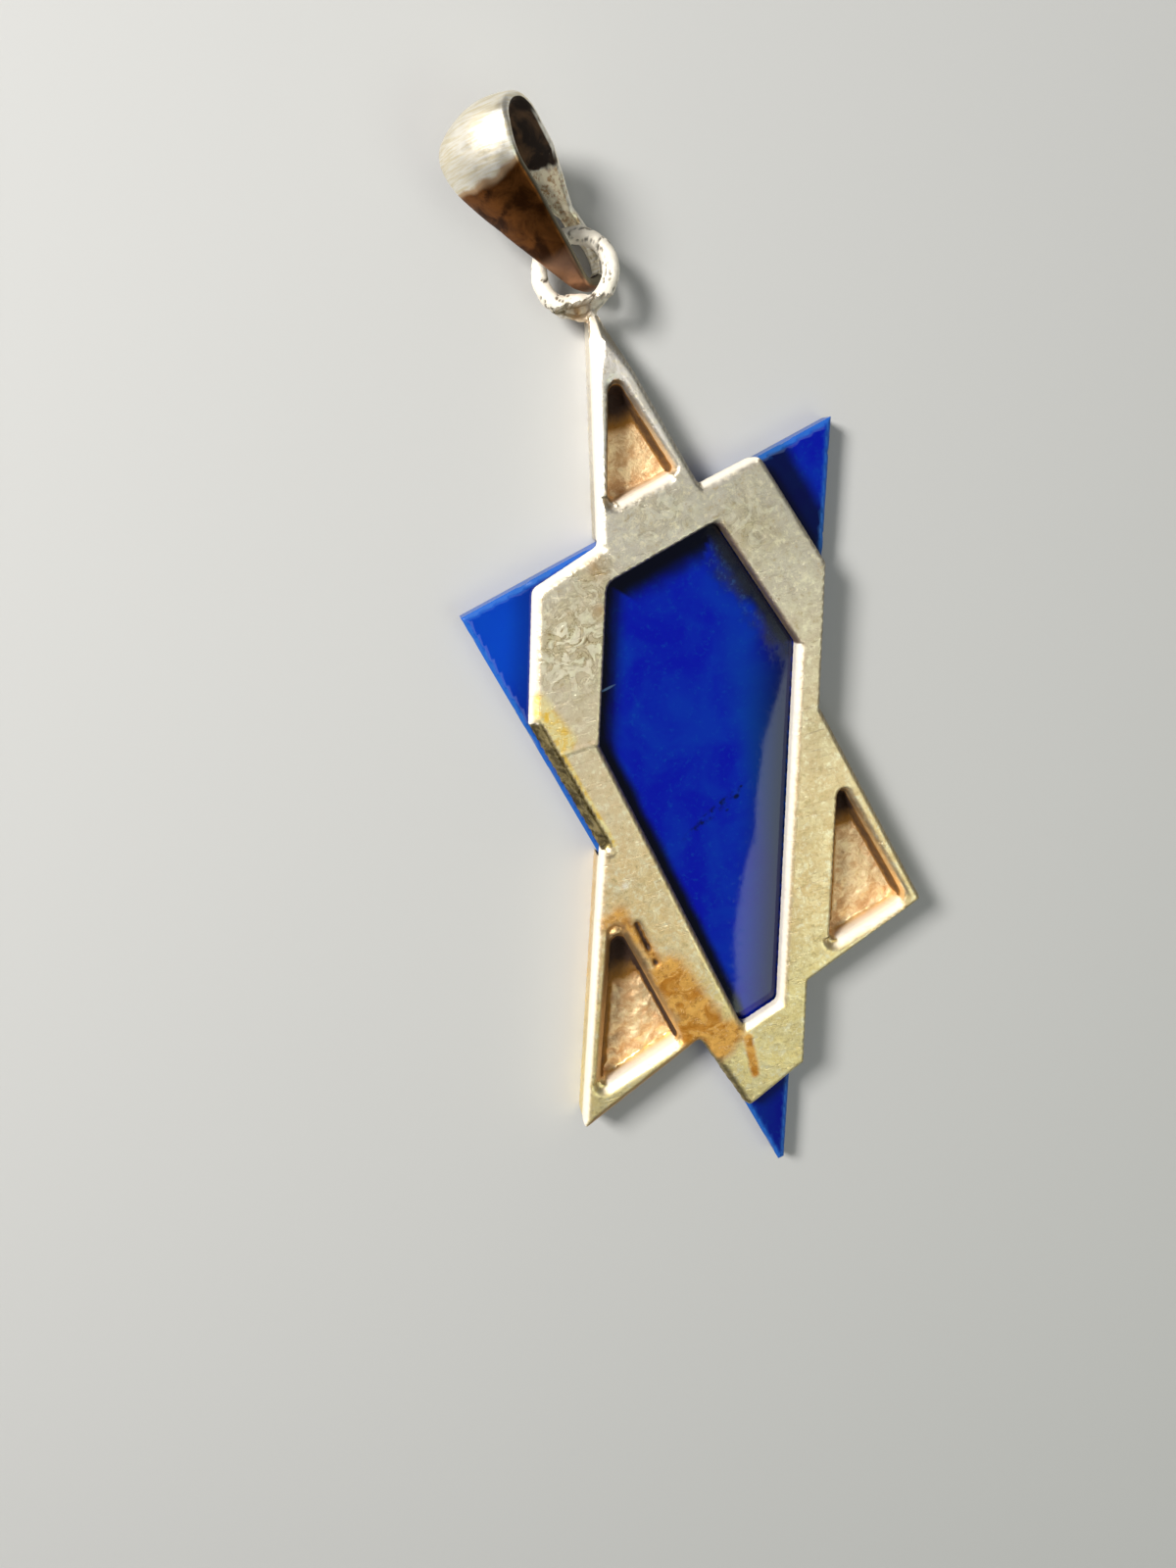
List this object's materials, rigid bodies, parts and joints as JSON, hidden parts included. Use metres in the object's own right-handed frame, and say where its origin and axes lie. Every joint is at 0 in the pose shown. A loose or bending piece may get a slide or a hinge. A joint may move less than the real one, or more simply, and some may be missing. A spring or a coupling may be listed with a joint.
{
  "type": "star of david pendant",
  "caption": "Pendant with a skewed gold star frame over a triangular lapis slab, a soldered ring and a folded bail, lying face down.",
  "frame": {"origin": "middle of the star on its front face, which the pendant rests on", "axes": "+Z out of the back, +Y from the stone's lower point towards the ring, +X to the right seen from the back"},
  "size_m": [0.018, 0.0476, 0.0048],
  "materials": {
    "cast_gold": "worn satin 14k gold, scratched, with brown residue in the corners",
    "lapis": "polished deep blue lapis lazuli",
    "bail_gold": "polished 14k gold, darkened inside"
  },
  "bodies": {
    "root": {"star_frame": "cast_gold", "lapis_triangle": "lapis", "bail": "bail_gold"}
  },
  "joints": []
}
